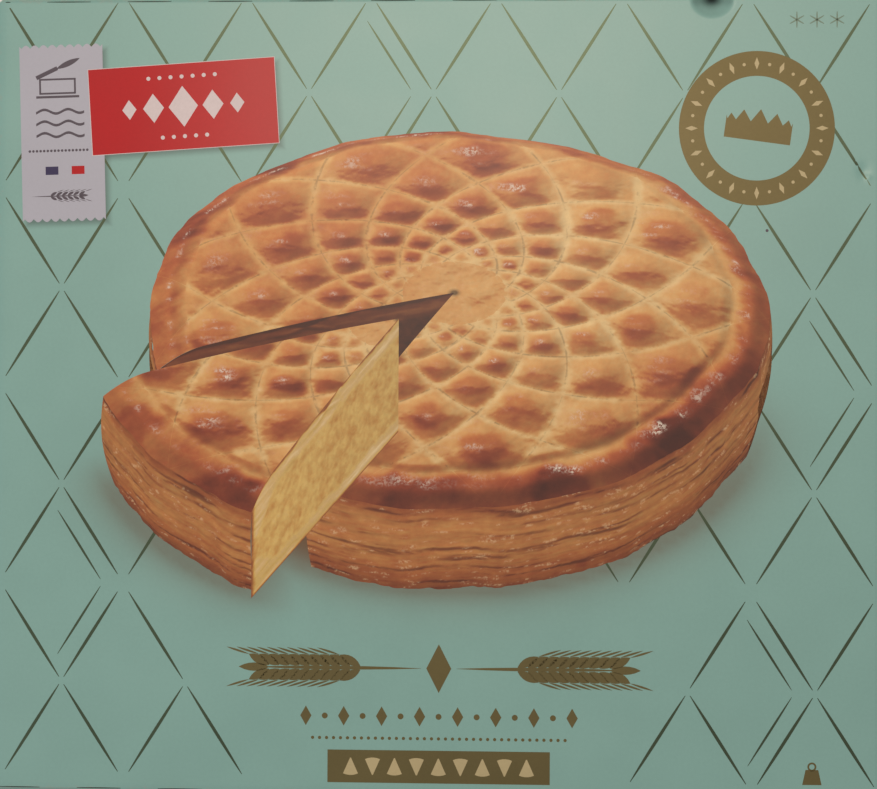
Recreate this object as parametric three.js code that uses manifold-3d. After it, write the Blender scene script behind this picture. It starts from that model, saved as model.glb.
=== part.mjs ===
// A flat folding carton for a round frozen pastry, shut, lying on its back with the printed face up.
// Millimetres. +X runs to the right of the print, +Y to its top, +Z up out of the face.
// The origin is on the underside, below the middle of the face.
import * as THREE from "three";
import { mergeVertices } from "three/addons/utils/BufferGeometryUtils.js";
import Module from "manifold-3d";

const wasm = await Module();
wasm.setup();

// The closed carton
const FACE_WIDTH = 300;
const FACE_HEIGHT = 270;
const DEPTH = 40;

// The board and its folds
const BOARD = 0.5;
const CREASE_RADIUS = 2;
const CREASE_STEPS = 6;

// The glued flap that closes each end: it hangs from the face and stops short of the base and the side walls
const FLAP_BASE_GAP = 2.5;
const FLAP_SIDE_GAP = 1.5;
const FLAP_SLIT_TOP = DEPTH - 3;

// The half-moon thumb tab, pushed in where the face folds into the top flap
const THUMB_X = 93.7;
const THUMB_HALF_WIDTH = 8;
const THUMB_REACH = 6;
const THUMB_SINK = 3.5;

// The knock beside the right-hand fold
const KNOCK = { x: 146, y: 75, halfWidth: 2.6, halfLength: 4, sink: 0.5 };

const SCOOP_SEGMENTS = 28;
const SCOOP_RINGS = 20;

// Where each axis of a drawn outline, and the direction it is extruded in, point in the carton's frame
const SEEN_FROM_END = { right: [1, 0, 0], up: [0, 0, 1], away: [0, -1, 0] };
const SEEN_FROM_SIDE = { right: [0, 1, 0], up: [0, 0, 1], away: [1, 0, 0] };
const SEEN_FROM_ABOVE = { right: [1, 0, 0], up: [0, 1, 0], away: [0, 0, 1] };

// A closed three.js geometry as a solid that can be joined and cut
function solidFrom(geometry) {
  const bare = geometry.clone();
  bare.deleteAttribute("normal");
  bare.deleteAttribute("uv");
  const merged = mergeVertices(bare, 1e-4);
  return new wasm.Manifold(
    new wasm.Mesh({
      numProp: 3,
      vertProperties: merged.attributes.position.array,
      triVerts: new Uint32Array(merged.index.array),
    }),
  );
}

// The finished solid as a three.js geometry with flat faces
function geometryFrom(solid) {
  const mesh = solid.getMesh();
  const indexed = new THREE.BufferGeometry();
  indexed.setAttribute("position", new THREE.BufferAttribute(mesh.vertProperties, 3));
  indexed.setIndex(new THREE.BufferAttribute(mesh.triVerts, 1));
  const faceted = indexed.toNonIndexed();
  faceted.computeVertexNormals();
  return faceted;
}

// An outline extruded by length along the view's away direction, half to each side of the origin
function prism(outline, length, view) {
  const geometry = new THREE.ExtrudeGeometry(outline, {
    depth: length,
    bevelEnabled: false,
    curveSegments: CREASE_STEPS,
  });
  geometry.translate(0, 0, -length / 2);
  const axes = [view.right, view.up, view.away].map((axis) => new THREE.Vector3(...axis));
  geometry.applyMatrix4(new THREE.Matrix4().makeBasis(...axes));
  return solidFrom(geometry);
}

// A rectangle from (left, bottom) to (right, top) whose corners are folds
function foldedRectangle(left, bottom, right, top) {
  const r = CREASE_RADIUS;
  const outline = new THREE.Shape();
  outline.moveTo(left + r, bottom);
  outline.lineTo(right - r, bottom);
  outline.absarc(right - r, bottom + r, r, -Math.PI / 2, 0);
  outline.lineTo(right, top - r);
  outline.absarc(right - r, top - r, r, 0, Math.PI / 2);
  outline.lineTo(left + r, top);
  outline.absarc(left + r, top - r, r, Math.PI / 2, Math.PI);
  outline.lineTo(left, bottom + r);
  outline.absarc(left + r, bottom + r, r, Math.PI, 1.5 * Math.PI);
  return outline;
}

// The carton cut along its height: each end flap stands one board out from the wall below it
function flappedOutline() {
  const r = CREASE_RADIUS;
  const flap = FACE_HEIGHT / 2;
  const wall = flap - BOARD;
  const outline = new THREE.Shape();
  outline.moveTo(-wall + r, 0);
  outline.lineTo(wall - r, 0);
  outline.absarc(wall - r, r, r, -Math.PI / 2, 0);
  outline.lineTo(wall, FLAP_BASE_GAP);
  outline.lineTo(flap, FLAP_BASE_GAP);
  outline.lineTo(flap, DEPTH - r);
  outline.absarc(flap - r, DEPTH - r, r, 0, Math.PI / 2);
  outline.lineTo(-flap + r, DEPTH);
  outline.absarc(-flap + r, DEPTH - r, r, Math.PI / 2, Math.PI);
  outline.lineTo(-flap, FLAP_BASE_GAP);
  outline.lineTo(-wall, FLAP_BASE_GAP);
  outline.lineTo(-wall, r);
  outline.absarc(-wall + r, r, r, Math.PI, 1.5 * Math.PI);
  return outline;
}

// The slit between an end flap and a side wall, one board deep, at the given corner of the face
function flapSlit(sideSign, endSign) {
  const overrun = 1;
  const geometry = new THREE.BoxGeometry(
    FLAP_SIDE_GAP + overrun,
    BOARD + overrun,
    FLAP_SLIT_TOP + overrun,
  );
  geometry.translate(
    (sideSign * (FACE_WIDTH - FLAP_SIDE_GAP + overrun)) / 2,
    endSign * (FACE_HEIGHT / 2 - BOARD + (BOARD + overrun) / 2),
    (FLAP_SLIT_TOP - overrun) / 2,
  );
  return solidFrom(geometry);
}

// A round hollow pressed into the face at (x, y)
function scoop(x, y, halfWidth, halfLength, sink) {
  const geometry = new THREE.SphereGeometry(1, SCOOP_SEGMENTS, SCOOP_RINGS);
  geometry.scale(halfWidth, halfLength, sink);
  geometry.translate(x, y, DEPTH);
  return solidFrom(geometry);
}

function cartonSolid() {
  const halfWidth = FACE_WIDTH / 2;
  const halfHeight = FACE_HEIGHT / 2;
  const sleeve = foldedRectangle(-halfWidth, 0, halfWidth, DEPTH);
  const corners = foldedRectangle(-halfWidth, -halfHeight, halfWidth, halfHeight);
  let solid = prism(sleeve, FACE_HEIGHT, SEEN_FROM_END)
    .intersect(prism(flappedOutline(), FACE_WIDTH, SEEN_FROM_SIDE))
    .intersect(prism(corners, 2 * DEPTH, SEEN_FROM_ABOVE));
  for (const sideSign of [-1, 1]) {
    for (const endSign of [-1, 1]) {
      solid = solid.subtract(flapSlit(sideSign, endSign));
    }
  }
  return solid
    .subtract(scoop(THUMB_X, halfHeight, THUMB_HALF_WIDTH, THUMB_REACH, THUMB_SINK))
    .subtract(scoop(KNOCK.x, KNOCK.y, KNOCK.halfWidth, KNOCK.halfLength, KNOCK.sink));
}

const printedBoard = new THREE.MeshStandardMaterial({
  color: new THREE.Color("#9dbcae"),
  roughness: 0.5,
  metalness: 0,
});

const carton = new THREE.Mesh(geometryFrom(cartonSolid()), printedBoard);
carton.name = "carton";

const part = new THREE.Group();
part.add(carton);

export default part;
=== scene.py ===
"""A shut folding carton for a round frozen pastry, printed in mint and gold, built around its packed frame.

Lengths are metres in the carton's own frame: +X to the right of the print, +Y to its top and +Z out of the
face. The board is made of folded sheets with a real thickness. Each ink is a thin closed film on the board.
"""

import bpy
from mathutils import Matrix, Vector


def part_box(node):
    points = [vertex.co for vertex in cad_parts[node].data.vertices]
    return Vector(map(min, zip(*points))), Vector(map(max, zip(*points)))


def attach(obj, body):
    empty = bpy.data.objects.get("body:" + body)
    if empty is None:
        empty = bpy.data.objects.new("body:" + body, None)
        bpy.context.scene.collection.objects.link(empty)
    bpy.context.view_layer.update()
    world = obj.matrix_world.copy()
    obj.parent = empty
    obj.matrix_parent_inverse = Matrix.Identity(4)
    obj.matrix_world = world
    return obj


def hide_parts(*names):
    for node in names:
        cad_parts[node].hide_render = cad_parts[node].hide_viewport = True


bl_info = {
    "name": "Pastry carton",
    "version": (1, 0, 0),
    "blender": (4, 5, 0),
    "location": "View3D > Sidebar > Carton",
    "description": "Builds a shut, printed folding carton for a round pastry",
    "category": "Add Mesh",
}

import bpy
import numpy as np
from bpy.props import FloatProperty, FloatVectorProperty, IntProperty, PointerProperty
from mathutils import Vector

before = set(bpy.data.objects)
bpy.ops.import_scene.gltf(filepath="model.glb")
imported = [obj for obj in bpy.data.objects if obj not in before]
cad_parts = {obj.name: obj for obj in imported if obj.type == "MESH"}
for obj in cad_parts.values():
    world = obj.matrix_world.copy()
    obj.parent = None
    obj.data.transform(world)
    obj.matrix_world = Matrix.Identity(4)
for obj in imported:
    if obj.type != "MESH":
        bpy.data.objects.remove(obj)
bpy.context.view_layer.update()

NODE = "carton"
BODY = "root"
MM = 0.001
HALF_X, HALF_Y, DEPTH = (float(size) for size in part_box(NODE)[1])
MICRON = 1e-6

# How much of the face's width the camera takes in
VIEW_WIDTH_OVER_FACE = 0.9922

# Grid lines closer together than this are merged
CLOSEST_LINES = 0.15 * MM

# How deep an ink is rooted in its board, and how high the back panel stands, to leave room for its own ink
FILM_ROOT = 0.1 * MM
BACK_RISE = 0.06 * MM

# Depth of the board's tooth under the varnish
TOOTH_DEPTH = 0.02 * MM

# Name of the flat layout of a sheet or a large film
FLAT_LAYOUT = "OFBake"

# How far from a fold, and from a cut edge, the ink is worn
FOLD_WEAR = 2.0 * MM
EDGE_WEAR = 1.5 * MM

# Half the width and height of the knock by the right fold, and the place of the ridge that it throws up
KNOCK_HALF = (1.9 * MM, 2.6 * MM)
KNOCK_RIDGE = (1.5 * MM, -2.0 * MM)

# The thumb tab: from the end of the face to its middle, half the width and height of the heart of its
# painted shade, and how far it goes outward and down for each step that it is pushed in
THUMB_INSET = 1.6 * MM
THUMB_HEART = (4.8 * MM, 4.4 * MM)
THUMB_PUSH = (0.27, 0.9)

# The painted shadow of a label: how it is shifted, how soft its edge is, and how strong it is
LABEL_SHADOW_SHIFT = np.array([1.3, -1.5]) * MM
LABEL_SHADOW_SOFTNESS = 1.6 * MM
LABEL_SHADOW_DEPTH = 0.62


class Lift:
    """Height of each ink over its board in millimetres. An ink that lies on another is the higher one."""

    SLIT_SHADE = 0.015
    LATTICE = 0.020
    GOLD = 0.030
    CORNER_MARK = 0.030
    BAR_MARK = 0.040
    BADGE_GROUND = 0.026
    BADGE = 0.032
    BADGE_MARK = 0.042
    PASTRY_SIDE = 0.030
    PASTRY_CUT = 0.034
    PASTRY_TOP = 0.038
    SLICE_SIDE = 0.046
    SLICE_CUT = 0.050
    SLICE_TOP = 0.054
    STAMP = 0.056
    STAMP_MARK = 0.062
    RED_EDGE = 0.064
    RED = 0.070
    RED_MARK = 0.078
    BACK_PANEL = 0.020
    BACK_MARK = 0.030


def length(name, about, default):
    """A property that holds a length."""
    return FloatProperty(name=name, description=about, default=default, unit="LENGTH", precision=5)


def degrees(name, about, default):
    """A property that holds an angle, given in degrees."""
    return FloatProperty(name=name, description=about, default=np.radians(default), subtype="ANGLE")


def scalar(name, about, default):
    """A property that holds a plain number."""
    return FloatProperty(name=name, description=about, default=default)


def colour(name, about, red, green, blue):
    """A property that holds a colour, given as display values from 0 to 255."""
    return FloatVectorProperty(
        name=name,
        description=about,
        default=(red / 255, green / 255, blue / 255),
        size=3,
        min=0.0,
        max=1.0,
        subtype="COLOR_GAMMA",
    )


class BoardSizes(bpy.types.PropertyGroup):
    """The folded board and the knocks in it."""

    thickness: length("Board", "Thickness of the board", 0.5 * MM)
    crease: length("Crease", "Outer radius of a fold", 2.0 * MM)
    swell: length("Swell", "How far the middle of the face stands proud", 0.7 * MM)
    warp: length("Warp", "Height of the slow waves in the face", 0.08 * MM)
    flap_gap: length("Flap gap", "Space under the free edge of an end flap", 2.5 * MM)
    thumb_x: length("Thumb tab", "Place of the pushed-in tab along the top fold", 93.4 * MM)
    thumb_half: length("Thumb half width", "Half the width of the pushed-in tab", 7.8 * MM)
    thumb_reach: length("Thumb reach", "How far the hollow runs down the face", 6.6 * MM)
    thumb_sink: length("Thumb sink", "Depth of the hollow", 3.5 * MM)
    cut_top: length("Top cut", "Place of one cut along the top fold", -14.3 * MM)
    cut_foot: length("Foot cut", "Place of one cut along the bottom fold", -2.0 * MM)
    cut_pitch: length("Cut pitch", "From one cut of an end fold to the next", 27.7 * MM)
    cut_half: length("Cut half length", "Half the length of a cut", 7.5 * MM)
    cut_width: length("Cut width", "Opening of a cut", 0.38 * MM)
    cut_margin: length("Cut margin", "Whole board left at each end of a fold", 3.0 * MM)
    cut_turn: degrees("Cut turn", "Where a cut lies round its fold, from the face", 18.33)
    knock_x: length("Knock across", "Place of the knock by the right fold", 143.8 * MM)
    knock_y: length("Knock up", "Height of the knock on the face", 75.5 * MM)
    knock_sink: length("Knock sink", "Depth of the knock", 0.5 * MM)


class LatticeSizes(bpy.types.PropertyGroup):
    """The lattice of needle strokes."""

    pitch_x: length("Pitch across", "Width of a diamond", 42.3 * MM)
    pitch_y: length("Pitch up", "Height of a diamond", 66.8 * MM)
    shift_x: length("Shift across", "Place of the lattice's middle on the face", 0.4 * MM)
    shift_y: length("Shift up", "Place of the lattice's middle on the face", 1.9 * MM)
    skew: scalar("Skew", "Shear that the board's warp gives the print", 0.007)
    width: length("Stroke", "Widest part of a stroke", 1.1 * MM)
    node_gap: length("Node gap", "Bare length at a wide node", 3.5 * MM)
    cross_gap: length("Crossing gap", "Bare length at a narrow crossing", 1.5 * MM)
    accent_inset: length("Accent inset", "Space between a node and its accent", 7.0 * MM)


class PastrySizes(bpy.types.PropertyGroup):
    """The pastry pictured on the face, before it is drawn in perspective."""

    centre_x: length("Across", "Middle of the pastry's base on the face", 7.0 * MM)
    centre_y: length("Up", "Middle of the pastry's base on the face", -3.6 * MM)
    radius: length("Radius", "Radius of the pastry", 104.5 * MM)
    wall: length("Wall", "Height of the flaky side", 42.0 * MM)
    dome: length("Dome", "Rise of the top above its rim", 6.0 * MM)
    shoulder: length("Shoulder", "Drop of the rounded rim", 5.5 * MM)
    tilt: degrees("Tilt", "Height of the eye above the table in the picture", 37.4)
    slice_from: degrees("Slice from", "Where the slice starts", 196)
    slice_to: degrees("Slice to", "Where the slice ends", 242)
    slice_pull: length("Slice pull", "How far the slice is drawn out", 24.0 * MM)
    slice_lift: length("Slice lift", "How far the slice is lifted", 0.5 * MM)
    rays: IntProperty(name="Rays", description="Scored lines in each direction", default=13, min=6)
    twist: scalar("Twist", "How far a scored line curls", 1.0)
    plain: length("Plain middle", "Radius of the unscored middle", 17.0 * MM)


class InkColours(bpy.types.PropertyGroup):
    """The inks and papers, with the painted shade of the thumb tab and of the slits, and the painted glare
    on the red label.
    """

    mint: colour("Mint", "Ground of the print", 141, 183, 175)
    gold: colour("Gold", "Badge and ornaments", 112, 100, 62)
    line: colour("Dark gold", "Lattice", 81, 94, 74)
    cream: colour("Cream", "Marks on gold", 196, 178, 134)
    faint: colour("Faint", "Small marks in the corners", 118, 140, 122)
    red: colour("Red", "Slanted label", 192, 20, 28)
    # Painted glare: the lighter red of the slanted label's right end, where its varnish catches the light
    glared_red: colour("Worn red", "Right end of the slanted label", 202, 64, 64)
    # Painted shade: the dark of the slits along the folds, standing for the shade in the gap of a real cut
    cut: colour("Cut", "Slits along the end folds", 62, 72, 64)
    stock: colour("Label stock", "Paper of the upright label", 186, 185, 198)
    pale: colour("Pale ink", "Marks on red", 224, 208, 210)
    dark: colour("Dark ink", "Pictograms", 84, 74, 86)
    blue: colour("Blue", "Block on the upright label", 44, 34, 84)
    fibre: colour("Board fibre", "Raw edge and inside of the board", 178, 172, 160)
    fleck: colour("Fleck", "Flecks in the raw board", 128, 116, 98)
    cast: colour("Cast shadow", "Painted shadow of the pastry", 112, 84, 58)
    under: colour("Label shadow", "Painted shadow of a label", 70, 84, 80)
    # Painted shade: the near-black that stands for the shade deep in the pushed-in tab
    hollow: colour("Hollow", "Dark of the pushed-in tab", 4, 7, 9)


class StudioSizes(bpy.types.PropertyGroup):
    """The camera and the lamps."""

    eye: length("Eye", "Distance that sets the lens", 0.6)
    eye_x: length("Eye across", "Place of the camera", 26.7 * MM)
    eye_y: length("Eye along", "Place of the camera", -8.3 * MM)
    eye_z: length("Eye up", "Height of the camera above the face", 595.6 * MM)
    turn: FloatVectorProperty(
        name="Turn",
        description="Turn of the camera from straight down",
        default=(0.01448, 0.04167, 0.00508),
        subtype="EULER",
    )
    key_power: scalar("Key", "Power of the main lamp in watts", 4.7)
    fill_power: scalar("Fill", "Power of the fill lamp in watts", 2.7)
    sky: scalar("Sky", "Strength of the even light", 0.26)


def board():
    """The board sizes in use."""
    return bpy.context.scene.carton_board


def lattice():
    """The lattice sizes in use."""
    return bpy.context.scene.carton_lattice


def pastry():
    """The sizes of the pictured pastry in use."""
    return bpy.context.scene.carton_pastry


def inks():
    """The colours in use."""
    return bpy.context.scene.carton_inks


def linear(shown):
    """A display colour as linear light, with an alpha of one."""
    shown = np.asarray(shown)
    light = np.where(shown <= 0.04045, shown / 12.92, ((shown + 0.055) / 1.055) ** 2.4)
    return (*light.tolist(), 1.0)


def display(red, green, blue):
    """A colour given as display values from 0 to 255, as linear light."""
    return linear((red / 255, green / 255, blue / 255))


# Noise and easing


def ease(value, low, high):
    """Rises smoothly from 0 at low to 1 at high."""
    part = np.clip((value - low) / (high - low), 0.0, 1.0)
    return part * part * (3.0 - 2.0 * part)


def bell(value, middle, width):
    """A bell curve: 1 at middle, and 1/e a width away from it."""
    return np.exp(-(((value - middle) / width) ** 2))


def hashed(value):
    """A value from 0 to 1 that looks random: what is left past the point of a very large sine."""
    spin = np.sin(value) * 43758.5453
    return spin - np.floor(spin)


def lattice_noise(x, y, seed):
    """Smooth noise from 0 to 1: a hashed value at each whole-number corner, eased between the corners."""
    left = np.floor(x)
    below = np.floor(y)
    across = ease(x - left, 0.0, 1.0)
    up = ease(y - below, 0.0, 1.0)

    def corner(dx, dy):
        return hashed((left + dx) * 127.1 + (below + dy) * 311.7 + seed * 74.7)

    lower = corner(0, 0) * (1 - across) + corner(1, 0) * across
    upper = corner(0, 1) * (1 - across) + corner(1, 1) * across
    return lower * (1 - up) + upper * up


def clouds(x, y, seed, octaves=4):
    """Octaves of lattice noise, each twice as fine and half as strong as the last, scaled to 0 to 1."""
    layers = [lattice_noise(x * 2**k, y * 2**k, seed + k) / 2**k for k in range(octaves)]
    return sum(layers) / sum(0.5**k for k in range(octaves))


def patches(x, y, wide, high, seed, octaves=4):
    """Clouds whose largest patches are wide by high millimetres."""
    return clouds(x / (wide * MM), y / (high * MM), seed, octaves)


# Closed slabs from grids of points


class Solid:
    """A closed mesh: points, quads, the material number of each quad, and named marks on the points."""

    def __init__(self, points, quads, material, marks):
        self.points = points
        self.quads = quads
        self.material = material
        self.marks = marks


def slabs(outer, inner, materials=(0, 0, 0), wrap=False, marks=None):
    """Closed slabs between matching grids of outer and inner points, shaped (slabs, rows, columns, 3).

    Each slab has its outer grid, its inner grid turned over, and a rim of quads around both.
    With wrap the last column meets the first. materials numbers the outer face, the inner face and the rim.
    """
    count, rows, columns = outer.shape[:3]
    size = rows * columns
    index = np.arange(size).reshape(rows, columns)
    if wrap:
        index = np.hstack([index, index[:, :1]])
    around = [index[:-1, :-1], index[:-1, 1:], index[1:, 1:], index[1:, :-1]]
    face = np.stack(around, axis=-1).reshape(-1, 4)
    start = [index[0, :-1], index[-1, 1:]]
    end = [index[0, 1:], index[-1, :-1]]
    if not wrap:
        start += [index[:-1, -1], index[1:, 0]]
        end += [index[1:, -1], index[:-1, 0]]
    start = np.concatenate(start)
    end = np.concatenate(end)
    rim = np.stack([end, start, start + size, end + size], axis=-1)
    one = np.concatenate([face, face[:, ::-1] + size, rim])
    number = np.repeat(materials, [len(face), len(face), len(rim)])

    flat = outer.reshape(count, size, 3)
    corner = flat[:, face]
    normal = np.cross(corner[:, :, 2] - corner[:, :, 0], corner[:, :, 3] - corner[:, :, 1])
    lift = corner[:, :, 0] - inner.reshape(count, size, 3)[:, face[:, 0]]
    turned = (normal * lift).sum(axis=(1, 2)) < 0
    quads = np.repeat(one[None], count, axis=0)
    quads[turned] = quads[turned][..., ::-1]
    quads = quads + (np.arange(count) * 2 * size)[:, None, None]

    points = np.concatenate([flat, inner.reshape(count, size, 3)], axis=1).reshape(-1, 3)
    doubled = {}
    for name, values in (marks or {}).items():
        values = values.reshape(count, size, -1)
        doubled[name] = np.concatenate([values, values], axis=1).reshape(count * 2 * size, -1)
    return Solid(points, quads.reshape(-1, 4), np.tile(number, count), doubled)


def add_piece(name, solids, materials):
    """One object from closed slabs, riding on the carton and standing for its solid."""
    points = np.concatenate([solid.points for solid in solids])
    offsets = np.cumsum([0] + [len(solid.points) for solid in solids[:-1]])
    quads = np.concatenate([solid.quads + offset for solid, offset in zip(solids, offsets)])
    number = np.concatenate([solid.material for solid in solids])

    mesh = bpy.data.meshes.new(name)
    mesh.vertices.add(len(points))
    mesh.vertices.foreach_set("co", points.astype(np.float32).ravel())
    mesh.loops.add(quads.size)
    mesh.loops.foreach_set("vertex_index", quads.astype(np.int32).ravel())
    mesh.polygons.add(len(quads))
    mesh.polygons.foreach_set("loop_start", np.arange(0, quads.size, 4, dtype=np.int32))
    mesh.polygons.foreach_set("material_index", number.astype(np.int32))
    for mark in solids[0].marks:
        values = np.concatenate([solid.marks[mark] for solid in solids])
        if mark == FLAT_LAYOUT:
            span = np.ptp(values, axis=0).max()
            spread = 0.01 + 0.98 * (values - values.min(axis=0)) / span
            layer = mesh.uv_layers.new(name=mark).uv
            layer.foreach_set("vector", spread[quads.ravel()].astype(np.float32).ravel())
            continue
        layer = mesh.attributes.new(mark, "FLOAT_VECTOR", "POINT")
        layer.data.foreach_set("vector", values.astype(np.float32).ravel())
    mesh.update(calc_edges=True)
    if mesh.validate():
        raise RuntimeError(f"{name} has faults in its mesh")
    mesh.set_sharp_from_angle(angle=np.radians(40))
    for material in materials:
        mesh.materials.append(material)

    piece = bpy.data.objects.new(name, mesh)
    bpy.context.scene.collection.objects.link(piece)
    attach(piece, BODY)
    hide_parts(NODE)


# Where the board runs


def bend_length():
    """Length of board in the quarter turn of a fold, along its outer face."""
    return board().crease * np.pi / 2


def folded(distance, half):
    """Carries a distance from the middle of the face over the crease at half, down the wall and under it.

    A crease is a quarter turn. Gives the place along the face's axis, the drop below the face, and the two
    parts of the outward normal: along that axis and up.
    """
    crease = board().crease
    bend = bend_length()
    flat = half - crease
    wall = DEPTH - 2 * crease
    run = np.abs(distance)
    first = np.clip((run - flat) / crease, 0, np.pi / 2)
    down = np.clip(run - flat - bend, 0, wall)
    second = np.clip((run - flat - bend - wall) / crease, 0, np.pi / 2)
    turn = first + second
    along = np.minimum(run, flat) + crease * np.sin(first) - crease * (1 - np.cos(second))
    drop = crease * (1 - np.cos(first)) + down + crease * np.sin(second)
    side = np.sign(distance)
    return side * along, drop, side * np.sin(turn), np.cos(turn)


def face_rise(x, y):
    """Height of the face over its plane: a swell that dies out at the folds, slow waves, and the knock.

    The knock is a round hollow with a small ridge thrown up beside it.
    """
    sizes = board()
    swell = np.clip((1 - (x / HALF_X) ** 2) * (1 - (y / HALF_Y) ** 2), 0, 1)
    waves = np.sin(47 * x + 19 * y + 0.6) * np.sin(41 * y - 13 * x + 1.1)
    across = x - sizes.knock_x
    up = y - sizes.knock_y
    hollow = bell(across, 0, KNOCK_HALF[0]) * bell(up, 0, KNOCK_HALF[1])
    ridge = 0.45 * bell(across, KNOCK_RIDGE[0], MM) * bell(up, KNOCK_RIDGE[1], MM)
    return sizes.swell * swell + sizes.warp * waves * np.sqrt(swell) + sizes.knock_sink * (ridge - hollow)


def thumb_inward(x, y, half, reach):
    """How far inside an oval about the middle of the thumb tab: 1 at its middle, 0 on it, less outside."""
    return 1 - np.hypot((x - board().thumb_x) / half, (y - HALF_Y + THUMB_INSET) / reach)


def thumb_depth(x, y):
    """How far inside the thumb tab's own outline."""
    return thumb_inward(x, y, board().thumb_half, board().thumb_reach)


def thumb_painted_shade(x, y):
    """Painted shade of the thumb tab, from 0 to 1: even inside it, deeper by the fold, deepest at its heart.
    """
    moon = ease(thumb_depth(x, y), 0.0, 0.25)
    shade = 0.08 + 0.26 * ease(y, HALF_Y - 5.0 * MM, HALF_Y - 2.0 * MM)
    return moon * shade + 0.62 * ease(thumb_inward(x, y, *THUMB_HEART), 0.0, 0.9)


def on_sheet(x, y):
    """Places and outward normals on the face and the walls that hang from it, from unfolded places."""
    across, drop_x, normal_x, up_x = folded(x, HALF_X)
    along, drop_y, normal_y, up_y = folded(y, HALF_Y)
    up = up_x * up_y
    rise = face_rise(across, along) * np.clip(up, 0, 1)
    sink = board().thumb_sink * ease(thumb_depth(x, y), 0.0, 0.8)
    out, down = THUMB_PUSH
    height = DEPTH - drop_x - drop_y + rise - down * sink
    point = np.stack([across, along + out * sink, height], axis=-1)
    return point, np.stack([normal_x + 0 * y, normal_y + 0 * x, up], axis=-1)


def on_back(x, y):
    """Places and outward normals on the back panel, with the print's right seen on the left."""
    point = np.stack([-x, y, BACK_RISE + 0 * x], axis=-1)
    return point, np.stack([0 * x, 0 * x, -1 + 0 * x], axis=-1)


def lines(low, high, step, fine=()):
    """Grid lines from low to high about step apart, with closer lines in each (from, to, step) of fine.

    They are rounded to a micron.
    """
    runs = [np.linspace(low, high, max(2, int(round((high - low) / step)) + 1))]
    runs += [np.arange(start, end, gap) for start, end, gap in fine]
    every = np.unique(np.round(np.concatenate(runs), 6))
    every = every[(every >= low - MICRON) & (every <= high + MICRON)]
    kept = np.concatenate([[True], np.diff(every) > CLOSEST_LINES])
    kept[-1] = True
    return every[kept]


def board_slab(point, normal, marks, flat=None):
    """A sheet of board whose outer face runs through the points, with a flat layout where one is given."""
    inner = point - normal * board().thickness
    kept = {"marks": marks[None]}
    if flat is not None:
        kept[FLAT_LAYOUT] = np.stack(flat, axis=-1)[None]
    return slabs(point[None], inner[None], (0, 1, 2), marks=kept)


def wear_marks(wear):
    """The marks of a sheet that has worn folds and nothing else."""
    return np.stack([wear, 0 * wear, 0 * wear], axis=-1)


def film(surface, x, y, lift, ink_number=0, wrap=False, marks=None):
    """Ink on a surface: a closed film lift above it, rooted in the board, over flat places x and y."""
    if x.ndim == 2:
        x = x[None]
        y = y[None]
    point, normal = surface(x, y)
    grown = None
    if marks is not None:
        grown = {name: values[None] for name, values in marks.items()}
        grown[FLAT_LAYOUT] = np.stack([x, y], axis=-1)
    return slabs(point + normal * lift * MM, point - normal * FILM_ROOT, (ink_number,) * 3, wrap, grown)


# Flat shapes


def placed(x, y, centre, angle=0.0):
    """Turns flat places by an angle about the origin and moves the origin to centre."""
    turn_x = x * np.cos(angle) - y * np.sin(angle)
    turn_y = x * np.sin(angle) + y * np.cos(angle)
    return turn_x + centre[0], turn_y + centre[1]


def rectangle(half_x, half_y, columns=2, rows=2):
    """A grid over a rectangle about the origin."""
    across = np.linspace(-half_x, half_x, columns)
    up = np.linspace(-half_y, half_y, rows)
    return np.meshgrid(across, up, indexing="ij")


def bar(centre_x, centre_y, half_x, half_y, angle=0.0):
    """A plain bar, in millimetres."""
    return placed(*rectangle(half_x * MM, half_y * MM), (centre_x * MM, centre_y * MM), angle)


def disc(radius, lines_across=5):
    """A grid over a disc: a square pressed into a circle, so that it has no pole."""
    u, v = rectangle(1.0, 1.0, lines_across, lines_across)
    return radius * u * np.sqrt(1 - v * v / 2), radius * v * np.sqrt(1 - u * u / 2)


def lozenge(half_x, half_y):
    """One quad with a corner on each axis."""
    x = np.array([[-half_x, 0.0], [0.0, half_x]])
    y = np.array([[0.0, half_y], [-half_y, 0.0]])
    return x, y


def needles(start, end, width, steps=8, blunt=0.06):
    """Strokes from start to end, widest in the middle and tapered to both ends by a power of a sine.

    Gives places shaped (strokes, steps + 1, 2). The ends are blunt times as wide as the middle.
    """
    start = np.atleast_2d(start)
    end = np.atleast_2d(end)
    along = np.linspace(0, 1, steps + 1)
    middle = start[:, None] + (end - start)[:, None] * along[None, :, None]
    run = end - start
    side = np.stack([-run[:, 1], run[:, 0]], axis=-1) / np.linalg.norm(run, axis=-1, keepdims=True)
    half = np.broadcast_to(np.atleast_1d(width), (len(start),)) / 2
    spread = half[:, None] * (blunt + (1 - blunt) * np.sin(np.pi * along) ** 0.8)
    offset = side[:, None] * spread[..., None]
    both = np.stack([middle - offset, middle + offset], axis=2)
    return both[..., 0], both[..., 1]


def spokes(centre, reach, count, first, width, blunt):
    """Needles through one centre at even turns from the first angle, in millimetres and degrees."""
    angle = np.radians(np.arange(count) * 180 / count + first)
    arm = reach * MM * np.stack([np.cos(angle), np.sin(angle)], axis=-1)
    middle = np.array(centre) * MM
    return needles(middle - arm, middle + arm, width * MM, blunt=blunt)


def row(count, gap, level):
    """Places a gap apart along X about the origin, all at one level, in millimetres."""
    across = (np.arange(count) - (count - 1) / 2) * gap
    return np.stack([across, np.full(count, level)], axis=-1) * MM


def copies(x, y, centres, angle=0.0):
    """The same flat shape at each centre, turned by one angle or by one angle each."""
    centres = np.asarray(centres)
    angles = np.broadcast_to(np.atleast_1d(angle), (len(centres),))[:, None, None]
    return placed(x[None], y[None], (centres[:, 0, None, None], centres[:, 1, None, None]), angles)


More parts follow.
